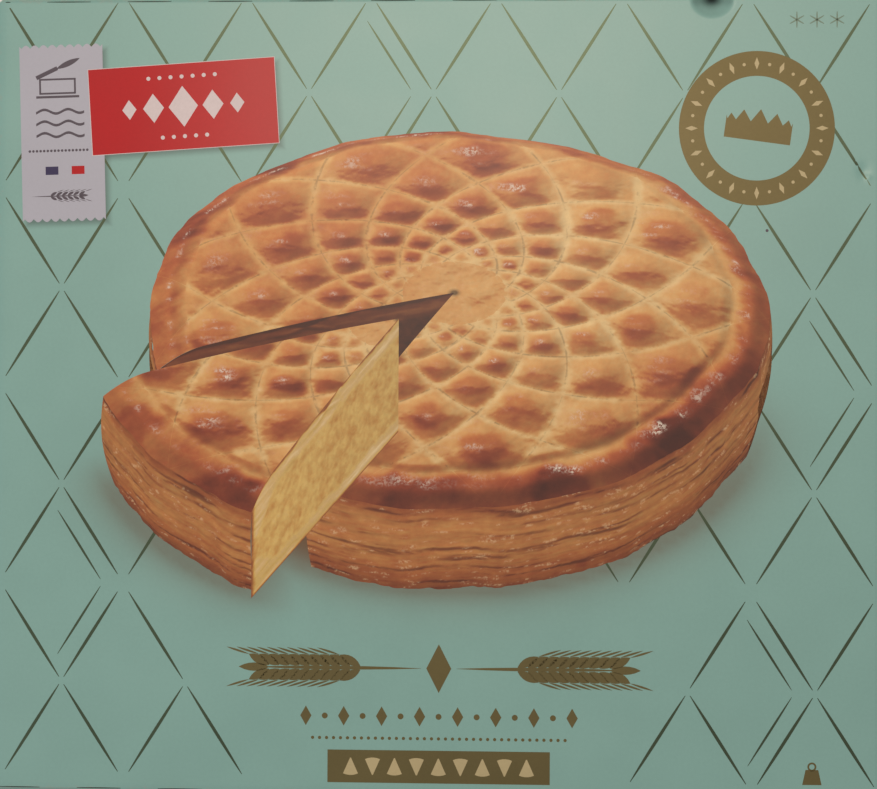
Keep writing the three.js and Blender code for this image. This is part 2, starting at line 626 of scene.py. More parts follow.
def wheat_ear(tip_x, grains):
    """Needle strokes of a wheat ear along +X from the origin to tip_x: a stalk, paired grains and awns."""
    grain = 0.15 * tip_x
    strokes = [((0.0, 0.0), (tip_x, 0.0), 0.022 * tip_x)]
    for side in (-1, 1):
        for place in np.linspace(0.36 * tip_x, 0.9 * tip_x, grains):
            foot = (place, side * 0.012 * tip_x)
            head = (place + 0.8 * grain, side * 0.5 * grain)
            awn = (place + 1.7 * grain, side * 0.78 * grain)
            strokes.append((foot, head, 0.052 * tip_x))
            strokes.append((head, awn, 0.012 * tip_x))
    strokes.append(((0.9 * tip_x, 0.0), (1.08 * tip_x, 0.0), 0.05 * tip_x))
    start, end, width = (np.array(values) for values in zip(*strokes))
    return needles(start, end, width, steps=6)


# Shader helpers


class Nodes:
    """Short calls that add nodes to one tree and link them."""

    def __init__(self, tree):
        self.tree = tree

    def put(self, socket, value):
        """Links a socket to another, or sets its value."""
        if isinstance(value, bpy.types.NodeSocket):
            self.tree.links.new(value, socket)
        elif value is not None:
            socket.default_value = value

    def add(self, kind, inputs=None, **settings):
        """A node with its settings and its inputs, given by name or by number."""
        node = self.tree.nodes.new(kind)
        for name, value in settings.items():
            setattr(node, name, value)
        for name, value in (inputs or {}).items():
            self.put(node.inputs[name], value)
        return node

    def math(self, operation, first, second=None, clamp=False):
        """A sum, product or other function of one or two numbers."""
        inputs = {0: first, 1: second}
        return self.add("ShaderNodeMath", inputs, operation=operation, use_clamp=clamp).outputs[0]

    def plus(self, base, value, gain):
        """A number plus so many times another."""
        return self.math("ADD", base, self.math("MULTIPLY", value, gain))

    def scaled(self, shade, gain):
        """A colour made so many times as bright."""
        return self.add("ShaderNodeVectorMath", {0: shade, "Scale": gain}, operation="SCALE").outputs[0]

    def mix(self, factor, first, second):
        """A blend of two colours."""
        return self.add("ShaderNodeMix", {0: factor, 6: first, 7: second}, data_type="RGBA").outputs[2]

    def span(self, value, low, high, to_low=0.0, to_high=1.0):
        """A number eased from one span to another."""
        inputs = {0: value, 1: low, 2: high, 3: to_low, 4: to_high}
        return self.add("ShaderNodeMapRange", inputs, interpolation_type="SMOOTHSTEP").outputs[0]

    def noise(self, vector, scale, detail=3.0, roughness=0.55):
        """Cloudy noise from 0 to 1."""
        inputs = {"Vector": vector, "Scale": scale, "Detail": detail, "Roughness": roughness}
        return self.add("ShaderNodeTexNoise", inputs).outputs["Fac"]

    def object_place(self):
        """The place on the piece."""
        return self.add("ShaderNodeTexCoord").outputs["Object"]

    def mark(self, name):
        """The three numbers of a mark on the mesh."""
        vector = self.add("ShaderNodeAttribute", attribute_name=name).outputs["Vector"]
        return self.add("ShaderNodeSeparateXYZ", {0: vector}).outputs[:3]

    def ramp(self, value, stops):
        """A colour along a row of (place, red, green, blue) stops, in display values from 0 to 255."""
        node = self.add("ShaderNodeValToRGB", {0: value})
        elements = node.color_ramp.elements
        while len(elements) < len(stops):
            elements.new(0.5)
        for element, (place, *shade) in zip(elements, stops):
            element.position = place
            element.color = display(*shade)
        return node.outputs[0]

    def group(self, tree, inputs):
        """A node group put in this tree. Gives its outputs."""
        return self.add("ShaderNodeGroup", inputs, node_tree=tree).outputs


def node_group(name, inputs, outputs, fill):
    """A shader node group, made once. inputs and outputs are (socket kind, name); fill wires it."""
    group = bpy.data.node_groups.get(name)
    if group is None:
        group = bpy.data.node_groups.new(name, "ShaderNodeTree")
        for kind, label in inputs:
            group.interface.new_socket(label, in_out="INPUT", socket_type=kind)
        for kind, label in outputs:
            group.interface.new_socket(label, in_out="OUTPUT", socket_type=kind)
        nodes = Nodes(group)
        entry = nodes.add("NodeGroupInput").outputs
        leave = nodes.add("NodeGroupOutput").inputs
        fill(nodes, entry, leave)
    return group


FLOAT = "NodeSocketFloat"
VECTOR = "NodeSocketVector"
COLOUR = "NodeSocketColor"


def ink_mottle_group():
    """Uneven ink on board: slow tone, fine speckle, and the height of the tooth under the varnish."""

    def fill(nodes, entry, leave):
        slow = nodes.noise(entry["Place"], 34.0, 2.0)
        fine = nodes.noise(entry["Place"], 900.0, 2.0)
        tooth = nodes.noise(entry["Place"], 2600.0, 1.0)
        tone = nodes.plus(nodes.math("MULTIPLY", slow, 0.6), fine, 0.4)
        swing = nodes.span(tone, 0.25, 0.75, -1.0, 1.0)
        nodes.put(leave["Colour"], nodes.scaled(entry["Colour"], nodes.plus(1.0, swing, entry["Amount"])))
        rough = nodes.math("SUBTRACT", slow, 0.5)
        nodes.put(leave["Roughness"], nodes.plus(entry["Roughness"], rough, 0.12))
        nodes.put(leave["Height"], nodes.plus(tooth, fine, 0.6))

    inputs = [(VECTOR, "Place"), (COLOUR, "Colour"), (FLOAT, "Amount"), (FLOAT, "Roughness")]
    outputs = [(COLOUR, "Colour"), (FLOAT, "Roughness"), (FLOAT, "Height")]
    return node_group("Ink mottle", inputs, outputs, fill)


def crease_wear_group():
    """Ink cracked off along a fold: bare fibre where a broken noise passes the nearness to the fold."""

    def fill(nodes, entry, leave):
        crack = nodes.noise(entry["Place"], 520.0, 4.0, 0.7)
        patch = nodes.noise(entry["Place"], 45.0, 2.0)
        reach = nodes.math("MULTIPLY", entry["Nearness"], nodes.math("ADD", patch, 0.35))
        bare = nodes.span(nodes.plus(crack, reach, 0.42), 0.74, 0.92)
        bare = nodes.math("MULTIPLY", bare, entry["Amount"])
        nodes.put(leave["Colour"], nodes.mix(bare, entry["Colour"], entry["Fibre"]))

    inputs = [(VECTOR, "Place"), (COLOUR, "Colour"), (COLOUR, "Fibre")]
    inputs += [(FLOAT, "Nearness"), (FLOAT, "Amount")]
    return node_group("Crease wear", inputs, [(COLOUR, "Colour")], fill)


def soft_box_group():
    """How deep a place lies in the soft shadow of a rectangle about the origin, from 0 to 1."""

    def fill(nodes, entry, leave):
        place = nodes.add("ShaderNodeSeparateXYZ", {0: entry["Place"]}).outputs
        gap_x = nodes.math("SUBTRACT", nodes.math("ABSOLUTE", place[0]), entry["Half across"])
        gap_y = nodes.math("SUBTRACT", nodes.math("ABSOLUTE", place[1]), entry["Half up"])
        gap = nodes.math("MAXIMUM", gap_x, gap_y)
        part = nodes.math("DIVIDE", gap, entry["Softness"])
        nodes.put(leave["Shadow"], nodes.span(part, -1.0, 1.0, 1.0, 0.0))

    inputs = [(VECTOR, "Place"), (FLOAT, "Half across"), (FLOAT, "Half up"), (FLOAT, "Softness")]
    return node_group("Soft box", inputs, [(FLOAT, "Shadow")], fill)


def new_material(name, finish):
    """A material whose Principled shader has the constant finish values set on its own sockets."""
    material = bpy.data.materials.new(name)
    material.use_nodes = True
    nodes = Nodes(material.node_tree)
    shader = material.node_tree.nodes["Principled BSDF"]
    for socket, value in finish.items():
        shader.inputs[socket].default_value = value
    return material, nodes, shader


def mottled(nodes, shader, place, shade, amount, roughness, bump):
    """Feeds a colour through the mottle group into the shader, with the board's tooth as bump."""
    inputs = {"Place": place, "Colour": shade, "Amount": amount, "Roughness": roughness}
    uneven = nodes.group(ink_mottle_group(), inputs)
    inputs = {"Strength": bump, "Distance": TOOTH_DEPTH, "Height": uneven["Height"]}
    nodes.put(shader.inputs["Base Color"], uneven["Colour"])
    nodes.put(shader.inputs["Roughness"], uneven["Roughness"])
    nodes.put(shader.inputs["Normal"], nodes.add("ShaderNodeBump", inputs).outputs[0])


def plain_ink(name, shade, roughness=0.48, amount=0.06, metallic=0.0, specular=0.5):
    """A flat ink or paper with mottle and tooth."""
    material, nodes, shader = new_material(name, {"Metallic": metallic, "Specular IOR Level": specular})
    mottled(nodes, shader, nodes.object_place(), linear(shade), amount, roughness, 0.12)
    return material


def mint_print(name, labels=()):
    """The mint ground: painted shadows, worn creases and the painted shade in the pushed-in tab.

    The mesh's marks hold the nearness of a fold, the painted shade of the hollow, and the painted shadow of
    the pastry. Each label has a soft shadow of its own shape beside it.
    """
    material, nodes, shader = new_material(name, {"Metallic": 0.0, "Specular IOR Level": 0.5})
    place = nodes.object_place()
    # The marks: nearness of a fold, the painted shade of the thumb tab, and the painted shadow of the pastry
    wear, hollow, cast = nodes.mark("marks")
    cast = nodes.math("MULTIPLY", cast, 1.0, clamp=True)
    shade = nodes.mix(cast, linear(inks().mint), linear(inks().cast))
    for label in labels:
        centre = (*(label.centre + LABEL_SHADOW_SHIFT), 0.0)
        inputs = {"Vector": place, "Location": centre, "Rotation": (0.0, 0.0, label.angle)}
        turned = nodes.add("ShaderNodeMapping", inputs, vector_type="TEXTURE").outputs[0]
        inputs = {"Place": turned, "Half across": label.half[0], "Half up": label.half[1]}
        box = nodes.group(soft_box_group(), {**inputs, "Softness": LABEL_SHADOW_SOFTNESS})
        depth = nodes.math("MULTIPLY", box["Shadow"], LABEL_SHADOW_DEPTH)
        shade = nodes.mix(depth, shade, linear(inks().under))
    inputs = {"Place": place, "Colour": shade, "Fibre": linear(inks().fibre), "Nearness": wear}
    worn = nodes.group(crease_wear_group(), {**inputs, "Amount": 0.22})
    # Painted shade: the mint darkens towards near-black inside the pushed-in tab
    dark = nodes.mix(hollow, worn["Colour"], linear(inks().hollow))
    dull = nodes.span(hollow, 0.1, 0.6, 0.42, 0.95)
    mottled(nodes, shader, place, dark, 0.035, dull, 0.15)
    return material


def raw_board(name, shade):
    """Uncoated board: grey fibre with darker flecks."""
    material, nodes, shader = new_material(name, {"Metallic": 0.0, "Specular IOR Level": 0.3})
    place = nodes.object_place()
    fleck = nodes.span(nodes.noise(place, 700.0, 5.0, 0.7), 0.55, 0.75)
    tone = nodes.mix(nodes.math("MULTIPLY", fleck, 0.5), linear(shade), linear(inks().fleck))
    mottled(nodes, shader, place, tone, 0.08, 0.85, 0.4)
    return material


def board_finishes():
    """The inside and the raw edge, which is a little paler, made once."""
    inside = bpy.data.materials.get("Board inside") or raw_board("Board inside", inks().fibre)
    edge = bpy.data.materials.get("Board edge") or raw_board("Board edge", np.array(inks().fibre) * 1.05)
    return [inside, edge]


def ink(name, **finish):
    """A plain ink by the name of its colour, made once."""
    title = f"{name.capitalize()} ink"
    return bpy.data.materials.get(title) or plain_ink(title, getattr(inks(), name), **finish)


def red_print():
    """Red ink with a painted glare: it lightens along the slanted label, from its left end to its right."""
    material, nodes, shader = new_material("Red print", {"Metallic": 0.0, "Specular IOR Level": 0.3})
    place = nodes.object_place()
    across = nodes.add("ShaderNodeSeparateXYZ", {0: place}).outputs[0]
    middle, half = float(RED_LABEL.centre[0]), float(RED_LABEL.half[0])
    # Painted glare: the red lightens towards the label's right end
    part = nodes.span(across, middle - 0.7 * half, middle + 1.1 * half)
    shade = nodes.mix(part, linear(inks().red), linear(inks().glared_red))
    mottled(nodes, shader, place, shade, 0.05, 0.48, 0.12)
    return material


def gold_ink():
    """Metallic gold ink."""
    return ink("gold", roughness=0.5, amount=0.06, metallic=0.42)


# The board


def fold_nearness(distance, half):
    """Nearness of an unfolded distance to the middle of the crease at half, from 0 to 1."""
    return bell(np.abs(distance), half - board().crease + bend_length() / 2, FOLD_WEAR)


class CARTON_OT_face(bpy.types.Operator):
    """The printed face with the two end flaps that hang from it"""

    bl_idname = "carton.face"
    bl_label = "Face and end flaps"

    def execute(self, context):
        sizes = board()
        bend = bend_length()
        edge_x = HALF_X - sizes.crease
        edge_y = HALF_Y - sizes.crease
        flap_end = edge_y + bend + DEPTH - sizes.crease - sizes.flap_gap
        step = 2.5 * MM
        fine_columns = [
            (-edge_x - bend, -edge_x, bend / 6),
            (edge_x, edge_x + bend, bend / 6),
            (sizes.thumb_x - 9 * MM, sizes.thumb_x + 9 * MM, 0.45 * MM),
            (sizes.knock_x - 5 * MM, edge_x, 0.5 * MM),
        ]
        fine_rows = [
            (-edge_y - bend, -edge_y, bend / 8),
            (edge_y, edge_y + bend, bend / 8),
            (edge_y - 7 * MM, edge_y + bend + 8 * MM, 0.4 * MM),
            (sizes.knock_y - 7 * MM, sizes.knock_y + 7 * MM, 0.6 * MM),
        ]
        columns = lines(-edge_x - bend, edge_x + bend, step, fine_columns)
        rows = lines(-flap_end, flap_end, step, fine_rows)
        x, y = np.meshgrid(columns, rows, indexing="ij")
        narrow = 1 - 0.9 * ease(np.abs(y), edge_y - 1.0 * MM, edge_y + 1.5 * MM)
        past = np.clip(np.abs(x) - edge_x, 0, None)
        x = np.sign(x) * (np.minimum(np.abs(x), edge_x) + past * narrow)
        point, normal = on_sheet(x, y)
        wear = np.maximum(fold_nearness(x, HALF_X), fold_nearness(y, HALF_Y))
        shadow = pastry_shadow(x, y) * (np.abs(y) < edge_y)
        # The marks: nearness of a fold, the painted shade of the thumb tab, and the painted shadow of the
        # pastry
        marks = np.stack([wear, thumb_painted_shade(x, y), shadow], axis=-1)
        materials = [mint_print("Mint face", (RED_LABEL, STAMP_LABEL)), *board_finishes()]
        add_piece("face_board", [board_slab(point, normal, marks, (x, y))], materials)
        return {"FINISHED"}


class CARTON_OT_walls(bpy.types.Operator):
    """The two side walls with their folds, and the dust flaps tucked in at their ends"""

    bl_idname = "carton.walls"
    bl_label = "Side walls"

    def execute(self, context):
        sizes = board()
        bend = bend_length()
        start = HALF_X - sizes.crease
        wall = DEPTH - 2 * sizes.crease
        end = start + 2 * bend + wall
        run = lines(start + bend, end, 3 * MM, [(end - bend, end, bend / 8)])
        middle = start + bend + wall / 2
        tucked = HALF_Y - 2 * sizes.thickness - sizes.crease
        reach = HALF_Y - 0.6 * MM
        waist = ease(run - middle, wall / 2 - 3 * MM, wall / 2 + 0.5 * MM)
        span = tucked + (reach - tucked) * waist
        up = np.linspace(-1, 1, 109)
        solids = []
        for side in (-1, 1):
            x = side * run[:, None] + 0 * up[None]
            y = span[:, None] * up[None]
            point, normal = on_sheet(x, y * (HALF_Y - sizes.crease) / reach)
            point[..., 1] = y
            fold = bell(np.abs(run[:, None] - middle), (wall + bend) / 2, FOLD_WEAR)
            edge = np.exp(-(span[:, None] - np.abs(y)) / EDGE_WEAR)
            solids.append(board_slab(point, normal, wear_marks(np.maximum(fold, edge))))
            solids += [self.dust_flap(side, end_side, tucked) for end_side in (-1, 1)]
        add_piece("side_walls", solids, [mint_print("Mint wall"), *board_finishes()])
        return {"FINISHED"}

    def dust_flap(self, side, end_side, tucked):
        """A flap that turns the corner from a wall and lies behind the end flaps, its end cut aslant."""
        crease = board().crease
        bend = bend_length()
        reach = 48 * MM
        run = np.concatenate([np.linspace(0, bend, 7), np.linspace(bend, bend + reach, 13)[1:]])
        turn = np.clip(run / crease, 0, np.pi / 2)
        inward = np.clip(run - bend, 0, None)
        x = HALF_X - crease * (1 - np.cos(turn)) - inward
        y = tucked + crease * np.sin(turn)
        taper = 0.8 * MM + 6 * MM * ease(inward, 0, reach)
        rise = np.linspace(0, 1, 9)
        z = taper[:, None] + (DEPTH - 2 * taper)[:, None] * rise[None]
        point = np.stack([side * x[:, None] + 0 * z, end_side * y[:, None] + 0 * z, z], axis=-1)
        outward = np.stack([side * np.cos(turn), end_side * np.sin(turn), 0 * turn], axis=-1)
        wear = bell(run, bend / 2, EDGE_WEAR)[:, None] + 0 * z
        return board_slab(point, outward[:, None] + 0 * point, wear_marks(wear))


class CARTON_OT_back(bpy.types.Operator):
    """The back panel with the inner end flaps that stand up from it"""

    bl_idname = "carton.back"
    bl_label = "Back and inner flaps"

    def execute(self, context):
        sizes = board()
        bend = bend_length()
        half = HALF_Y - sizes.thickness - 0.1 * MM
        edge_x = HALF_X - sizes.crease
        edge_y = half - sizes.crease
        flap_end = edge_y + bend + 30 * MM
        folds = [(-edge_y - bend, -edge_y, bend / 8), (edge_y, edge_y + bend, bend / 8)]
        columns = lines(-edge_x, edge_x, 6 * MM)
        rows = lines(-flap_end, flap_end, 5 * MM, folds)
        x, y = np.meshgrid(columns, rows, indexing="ij")
        along, drop, normal_y, up = folded(y, half)
        point = np.stack([x, along, drop + BACK_RISE], axis=-1)
        normal = np.stack([0 * x, normal_y, -up], axis=-1)
        wear = np.maximum(fold_nearness(x, HALF_X), fold_nearness(y, half))
        sheet = board_slab(point, normal, wear_marks(wear))
        add_piece("back_board", [sheet], [mint_print("Mint back"), *board_finishes()])
        return {"FINISHED"}


# The lattice


# The lattice's columns and rows of nodes, which reach past the face on all sides
LATTICE_NODES = np.array([10, 7])

# Bare board between the lattice and the ends of a wall or a flap
LATTICE_MARGIN = 3 * MM

# Areas at the foot of the face that the lattice leaves to the ornaments: half width, lower and upper end
ORNAMENT_AREAS = ((70 * MM, -HALF_Y, -66 * MM), (80 * MM, -100 * MM, -66 * MM))

# Diamonds with a chevron, counted in half pitches from the middle of the face
ACCENTED = np.array([(-1, 3), (6, 0), (-6, -2), (5, -3)])

# Where a chevron's side starts and ends along the diamond's, and its width as a part of a stroke's
ACCENT_SPAN = (0.035, 0.73)
ACCENT_WIDTH = 0.72

# Steps along a stroke, and the width of its ends and of a cut's as a part of the widest
STROKE_STEPS = 12
STROKE_BLUNT = 0.2
CUT_BLUNT = 0.5

# Slits along an end fold, painted as shade, counted from the one whose place is set
CUT_NUMBERS = np.arange(-5, 7)


def askew(places):
    """Printed places with a slight shear: each is moved back along either axis by a part of the other."""
    return places - lattice().skew * places[..., ::-1]


def lattice_strokes():
    """Ends of every stroke of the lattice on the unfolded sheet, shaped (strokes, 2) each.

    A stroke runs from a wide node at whole steps of the pitch to a narrow crossing half a step away, and
    stops short of both. Strokes are kept where the face, a side wall or an end flap carries them, and left
    out around the ornaments at the foot of the face.
    """
    sizes = lattice()
    pitch = np.array([sizes.pitch_x, sizes.pitch_y])
    columns, rows = (np.arange(count) for count in LATTICE_NODES)
    grid = np.meshgrid(columns, rows, [-1, 1], [-1, 1], indexing="ij")
    index, sign = np.stack(grid, axis=-1).reshape(-1, 2, 2).swapaxes(0, 1)
    node = (sizes.shift_x, sizes.shift_y) + (index - (LATTICE_NODES - 1) / 2) * pitch
    step = sign * pitch / 2
    along = step / np.linalg.norm(pitch / 2)
    start = node + along * sizes.node_gap
    end = node + step - along * sizes.cross_gap
    centre = (start + end) / 2
    middle_x, middle_y = np.abs(centre).T
    reach_x, reach_y = np.maximum(np.abs(start), np.abs(end)).T
    wall = bend_length() + DEPTH - 3 * board().crease
    on_face = (middle_x < HALF_X) & (middle_y < HALF_Y)
    on_wall = (middle_x > HALF_X) & (reach_x < HALF_X + wall) & (reach_y < HALF_Y - LATTICE_MARGIN)
    hanging = (middle_y > HALF_Y) & (reach_y < HALF_Y + wall - board().flap_gap)
    on_flap = hanging & (reach_x < HALF_X - LATTICE_MARGIN)
    for half, low, high in ORNAMENT_AREAS:
        on_face &= (middle_x > half) | (centre[:, 1] < low) | (centre[:, 1] > high)
    kept = on_face | on_wall | on_flap
    return askew(start[kept]), askew(end[kept])


def accent_strokes():
    """Ends of the thin chevrons inside four diamonds, parallel to the diamond's right-hand sides."""
    sizes = lattice()
    half = np.array([sizes.pitch_x, sizes.pitch_y]) / 2
    right = (ACCENTED + (1, 0)) * half + (sizes.shift_x - sizes.accent_inset, sizes.shift_y)
    away = half * [(-1, -1), (-1, 1)]
    return tuple(askew((right[:, None] + away * part).reshape(-1, 2)) for part in ACCENT_SPAN)


class CARTON_OT_lattice(bpy.types.Operator):
    """The gold lattice of needle strokes that runs over the face and down its walls"""

    bl_idname = "carton.lattice"
    bl_label = "Gold lattice"

    def execute(self, context):
        films = []
        for (start, end), part in ((lattice_strokes(), 1.0), (accent_strokes(), ACCENT_WIDTH)):
            strokes = needles(start, end, part * lattice().width, STROKE_STEPS, STROKE_BLUNT)
            films.append(film(on_sheet, *strokes, Lift.LATTICE))
        add_piece("gold_lattice", films, [ink("line", roughness=0.44, amount=0.08, metallic=0.72)])
        return {"FINISHED"}


class CARTON_OT_fold_cuts(bpy.types.Operator):
    """Dark slits along the two end folds, painted shade for the gaps of real cut lines that let the board
    bend.
    The thumb tab is in place of one
    """

    bl_idname = "carton.fold_cuts"
    bl_label = "Cuts in the folds"

    def execute(self, context):
        sizes = board()
        limit = HALF_X - sizes.cut_margin
        level = HALF_Y - sizes.crease * (1 - sizes.cut_turn)
        steps = sizes.cut_pitch * CUT_NUMBERS
        top = sizes.cut_top + steps
        top = top[np.abs(top - sizes.thumb_x) > sizes.cut_half + sizes.thumb_half]
        slit_shade_films = []
        for middle, height in ((top, level), (sizes.cut_foot + steps, -level)):
            ends = np.clip([middle - sizes.cut_half, middle + sizes.cut_half], -limit, limit)
            ends = ends[:, ends[0] < ends[1]]
            start, end = np.stack([ends, np.full(ends.shape, height)], axis=-1)
            # Each slit is a dark ink film: painted shade for the gap of a real cut
            slits = needles(start, end, sizes.cut_width, STROKE_STEPS, CUT_BLUNT)
            slit_shade_films.append(film(on_sheet, *slits, Lift.SLIT_SHADE))
        add_piece("fold_slit_shades", slit_shade_films, [ink("cut", roughness=0.9, amount=0.1)])
        return {"FINISHED"}


# The pictured pastry


# Where the pastry is lit from and what it mirrors, across, away from the eye and up
PASTRY_LAMP = np.array([-0.36, 0.50, 0.79])
PASTRY_WINDOW = np.array([-0.22, 0.93, 0.30])

# How far out to the rim the top's shoulder starts
SHOULDER_PART = 0.84

# Browning from pale to dark, as (place, red, green, blue): the crust, the flaky side and the cut
CRUST_BROWNS = (
    (0.0, 236, 200, 140),
    (0.20, 220, 164, 98),
    (0.38, 202, 126, 68),
    (0.56, 180, 92, 50),
    (0.78, 148, 62, 34),
    (1.0, 104, 36, 18),
)
FLAKY_BROWNS = (
    (0.0, 226, 176, 108),
    (0.22, 206, 140, 76),
    (0.42, 182, 106, 54),
    (0.68, 146, 68, 34),
    (1.0, 96, 38, 18),
)
CUT_BROWNS = (
    (0.0, 234, 206, 156),
    (0.20, 222, 184, 122),
    (0.36, 224, 186, 108),
    (0.54, 208, 150, 76),
    (0.75, 158, 90, 44),
    (1.0, 96, 44, 20),
)

# Glints on the glaze and on dry flakes
GLAZE_GLINT = (238, 222, 205)
FLAKE_GLINT = (236, 206, 158)


def pastry_place(across, away, height, shift):
    """Draws a place on the table, given across, away from the eye and up, on the flat face."""
    sizes = pastry()
    x = sizes.centre_x + across + shift[0]
    y = sizes.centre_y + (away + shift[1]) * np.sin(sizes.tilt) + (height + shift[2]) * np.cos(sizes.tilt)
    return x, y


def slice_shift():
    """How the slice is moved from its place in the round: out along its middle, and up."""
    sizes = pastry()
    middle = (sizes.slice_from + sizes.slice_to) / 2
    return (sizes.slice_pull * np.cos(middle), sizes.slice_pull * np.sin(middle), sizes.slice_lift)


def rim_radius(angle):
    """Radius of the uneven rim: three slow waves and a fine pinched edge."""
    slow = 0.010 * np.sin(3 * angle + 0.8) + 0.007 * np.sin(7 * angle + 2.1) + 0.004 * np.sin(17 * angle)
    fine = 0.012 * (clouds(angle * 14, 0 * angle, 3, 3) - 0.5)
    return pastry().radius * (1 + slow + fine)


def smooth_top(part):
    """Height of the plain top by the part of the way out to the rim: a dome with a rounded shoulder."""
    sizes = pastry()
    past = np.clip((part - SHOULDER_PART) / (1 - SHOULDER_PART), 0, 2)
    return sizes.wall + sizes.dome * (1 - part**2) - sizes.shoulder * past**2


def top_height(across, away):
    """Height of the top: the plain top with puffed lozenges, a rolled lip, and blisters."""
    out = np.hypot(across, away)
    angle = np.arctan2(away, across)
    part = out / rim_radius(angle)
    puff, _, _ = lozenges(out, angle)
    scored = ease(out, pastry().plain, 45 * MM) * (1 - ease(part, 0.84, 0.92))
    relief = 5.0 * MM * (np.sqrt(puff + 0.06) - 0.245) * scored
    lip = 2.6 * MM * bell(part, 0.95, 0.032) - 1.2 * MM * bell(part, 0.885, 0.02)
    blister = 1.5 * MM * (patches(across, away, 8, 8, 11) - 0.5)
    return smooth_top(part) + relief + lip + blister


def lozenges(out, angle):
    """The lozenges between two crossing families of curled rays.

    A ray's number grows with the angle plus or minus the logarithm of the radius. Gives the puff, 0 on a
    ray and 1 amid four of them, a value of its own for each lozenge, and the two ray numbers with their
    spacing in millimetres.
    """
    sizes = pastry()
    curl = sizes.twist * np.log(np.maximum(out, 3 * MM) / sizes.radius)
    first = sizes.rays * (angle + curl) / (2 * np.pi)
    second = sizes.rays * (angle - curl) / (2 * np.pi)
    puff = (np.sin(np.pi * first) * np.sin(np.pi * second)) ** 2
    wrapped = np.mod(np.floor(first), sizes.rays) + 31 * np.mod(np.floor(second), sizes.rays)
    whim = hashed(wrapped * 12.9898)
    spacing = 2 * np.pi * out / (sizes.rays * np.hypot(1, sizes.twist)) / MM
    return puff, whim, np.stack([first, second, spacing], axis=-1)


def top_normal(across, away):
    """Unit normal of the top and its slope away from the eye, from the heights either side of a place."""
    step = 0.5 * MM
    slope_x = (top_height(across + step, away) - top_height(across - step, away)) / (2 * step)
    slope_y = (top_height(across, away + step) - top_height(across, away - step)) / (2 * step)
    normal = np.stack([-slope_x, -slope_y, np.ones_like(slope_x)], axis=-1)
    return normal / np.linalg.norm(normal, axis=-1, keepdims=True), slope_y


def paint_top(across, away):
    """Tone of the baked top: browning, light and glints, each about 0 to 1.

    Light is the lamp on the slope of the top. Lozenges brown at their ridges and the rim browns most.
    Glints are where the slope throws the window at the eye and the glaze is unbroken.
    """
    sizes = pastry()
    normal, slope = top_normal(across, away)
    eye = np.array([0.0, -np.cos(sizes.tilt), np.sin(sizes.tilt)])
    half_way = (PASTRY_WINDOW + eye) / np.linalg.norm(PASTRY_WINDOW + eye)
    lit = np.clip(normal @ PASTRY_LAMP, 0, 1)

    out = np.hypot(across, away)
    angle = np.arctan2(away, across)
    part = out / rim_radius(angle)
    puff, whim, _ = lozenges(out, angle)
    slow = patches(across, away, 42, 42, 5, 3)
    patch = patches(across, away, 10, 7, 21)
    scored = ease(out, 0.9 * sizes.plain, 1.4 * sizes.plain)
    ridge = ease(np.sqrt(puff) + 0.9 * (patch - 0.5), 0.40, 0.95) * scored
    near_side = ease(slope, 0.02, 0.30) * (1 - ease(part, 0.86, 0.90))
    lip = ease(part + 0.05 * (patch - 0.5), 0.885, 0.935)
    front = ease(-away / sizes.radius + 0.7 * across / sizes.radius, -0.4, 1.0)
    brown = 0.24 + 0.36 * (slow - 0.45) + ridge * (0.07 + 0.22 * whim) + 0.24 * near_side * (0.4 + patch)
    brown = brown + lip * (0.20 + 0.24 * front + 0.3 * (patch - 0.5))
    vent = ease(2.4 * MM - out, 0, 1.4 * MM)
    light = (0.44 + 0.72 * lit) * (1 - 0.75 * vent)
    spark = np.clip(normal @ half_way, 0, 1) ** 30
    streak = ease(patches(across, away, 9, 2.6, 33), 0.44, 0.68)
    glint = 1.3 * spark * streak * (0.15 + 0.85 * ridge + 0.5 * lip) * (0.3 + 0.7 * whim + 0.4 * lip)
    return np.stack([brown, light, glint], axis=-1)


def pastry_top(start, end, columns, shift, lift):
    """Film of the pastry's top between two angles: rays from the middle out to the uneven rim.

    The score marks keep clear of the plain middle and the lip: there the spacing is far too wide to show.
    """
    part = np.linspace(0.0005, 1.0, 120)
    angle = np.linspace(start, end, columns)
    part, angle = np.meshgrid(part, angle, indexing="ij")
    out = part * rim_radius(angle)
    across = out * np.cos(angle)
    away = out * np.sin(angle)
    x, y = pastry_place(across, away, smooth_top(part), shift)
    _, _, score = lozenges(out, angle)
    bare = 1 - ease(out, pastry().plain - MM, pastry().plain)
    score[..., 2] += 1000 * np.maximum(bare, ease(part, 0.885, 0.895))
    return film(on_sheet, x, y, lift, marks={"tone": paint_top(across, away), "score": score})


def paint_wall(angle, rise):
    """Tone of the flaky side: wavy leaves up the wall, dark between, browned at the foot and the lip."""
    sizes = pastry()
    run = angle * sizes.radius
    wave = 6.0 * MM * (patches(run, rise, 38, 70, 41, 3) - 0.5)
    level = rise + wave
    leaf = patches(run, level, 26, 1.5, 43)
    fine = patches(run, level * 1.9, 7, 1.5, 47)
    flake = patches(run, rise, 3.5, 1.6, 53, 3)
    gap = ease(0.38 - leaf, 0.0, 0.14)
    facing = np.cos(angle) * PASTRY_LAMP[0] * 0.5 + np.sin(angle) * -0.5
    height = rise / (sizes.wall - sizes.shoulder)
    brown = 0.30 + 0.38 * (fine - 0.5) + 0.30 * ease(0.5 - height, 0, 0.5) + 0.26 * ease(height, 0.84, 1.0)
    light = 0.66 + 0.40 * facing + 0.42 * (leaf - 0.5) + 0.26 * (fine - 0.5) + 0.22 * (flake - 0.5)
    light = light - 0.22 * gap - 0.20 * ease(0.16 - height, 0, 0.16)
    glint = 0.5 * ease(fine + flake, 1.16, 1.40)
    return np.stack([brown + 0.2 * gap, light, glint], axis=-1)


